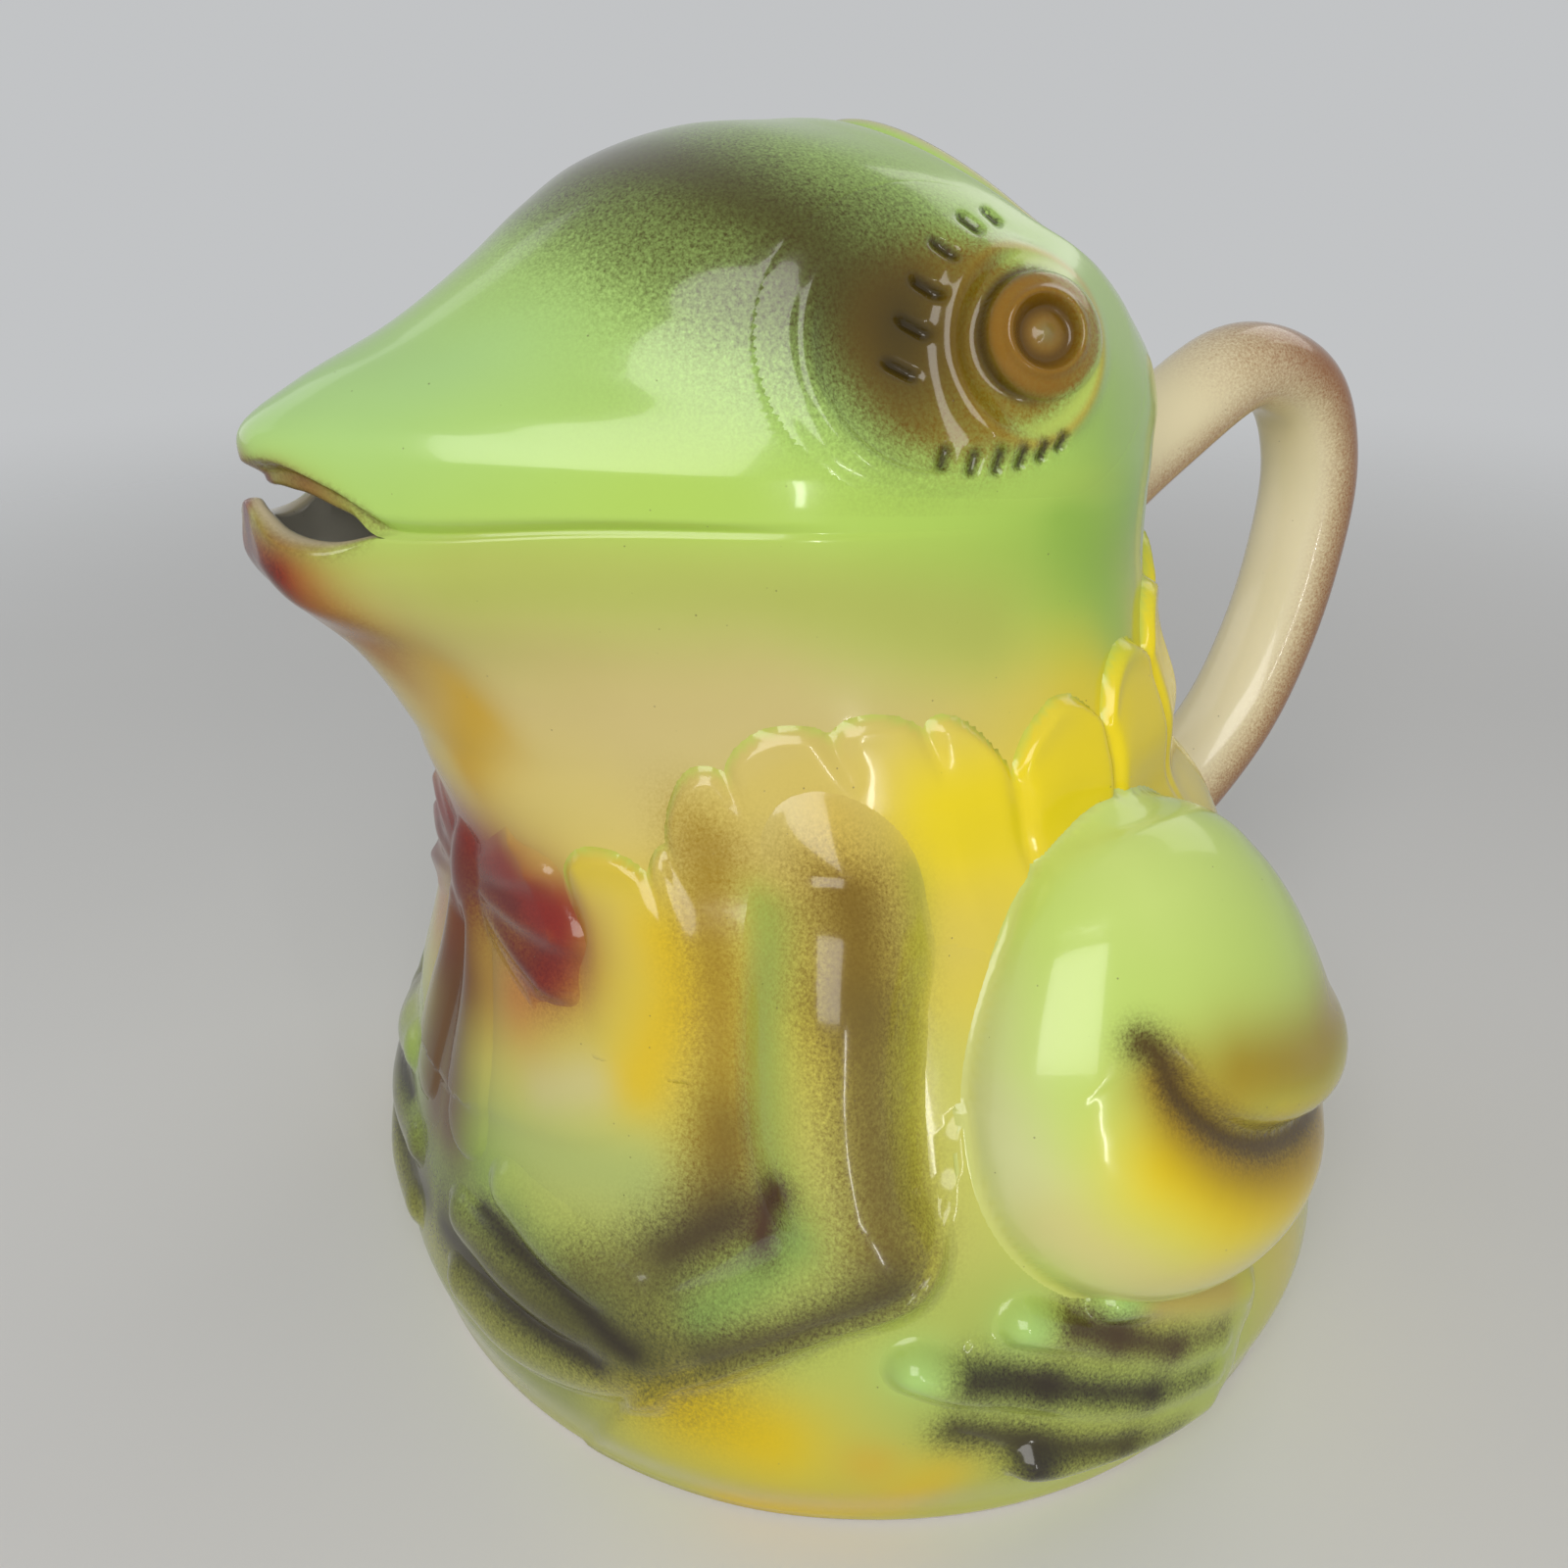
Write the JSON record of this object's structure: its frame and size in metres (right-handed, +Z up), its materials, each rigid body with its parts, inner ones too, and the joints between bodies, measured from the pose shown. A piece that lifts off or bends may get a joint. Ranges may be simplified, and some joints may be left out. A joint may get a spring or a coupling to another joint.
{
  "type": "frog pitcher",
  "caption": "Hollow glazed earthenware pitcher shaped as a sitting frog, with a mouth spout, a rear filling opening and a loop handle.",
  "frame": {"origin": "middle of the flat foot, on the table", "axes": "+Z up, the frog faces -Y, its left is +X, the handle is at +Y"},
  "size_m": [0.1896, 0.2193, 0.1995],
  "materials": {
    "body_glaze": "gloss glaze over airbrushed colour",
    "handle_glaze": "gloss glaze over airbrushed colour",
    "eye_glaze": "gloss glaze over airbrushed colour",
    "foreleg_glaze": "gloss glaze over airbrushed colour",
    "haunch_glaze": "gloss glaze over airbrushed colour",
    "foot_glaze": "gloss glaze over airbrushed colour",
    "petal_glaze": "gloss glaze over airbrushed colour",
    "bow_glaze": "gloss glaze over airbrushed colour"
  },
  "bodies": {
    "root": {"body_shell": "body_glaze", "handle": "handle_glaze", "left_eye": "eye_glaze", "right_eye": "eye_glaze", "left_foreleg": "foreleg_glaze", "right_foreleg": "foreleg_glaze", "left_haunch": "haunch_glaze", "right_haunch": "haunch_glaze", "left_hind_foot": "foot_glaze", "right_hind_foot": "foot_glaze", "petal_collar": "petal_glaze", "chest_bow": "bow_glaze"}
  },
  "joints": []
}
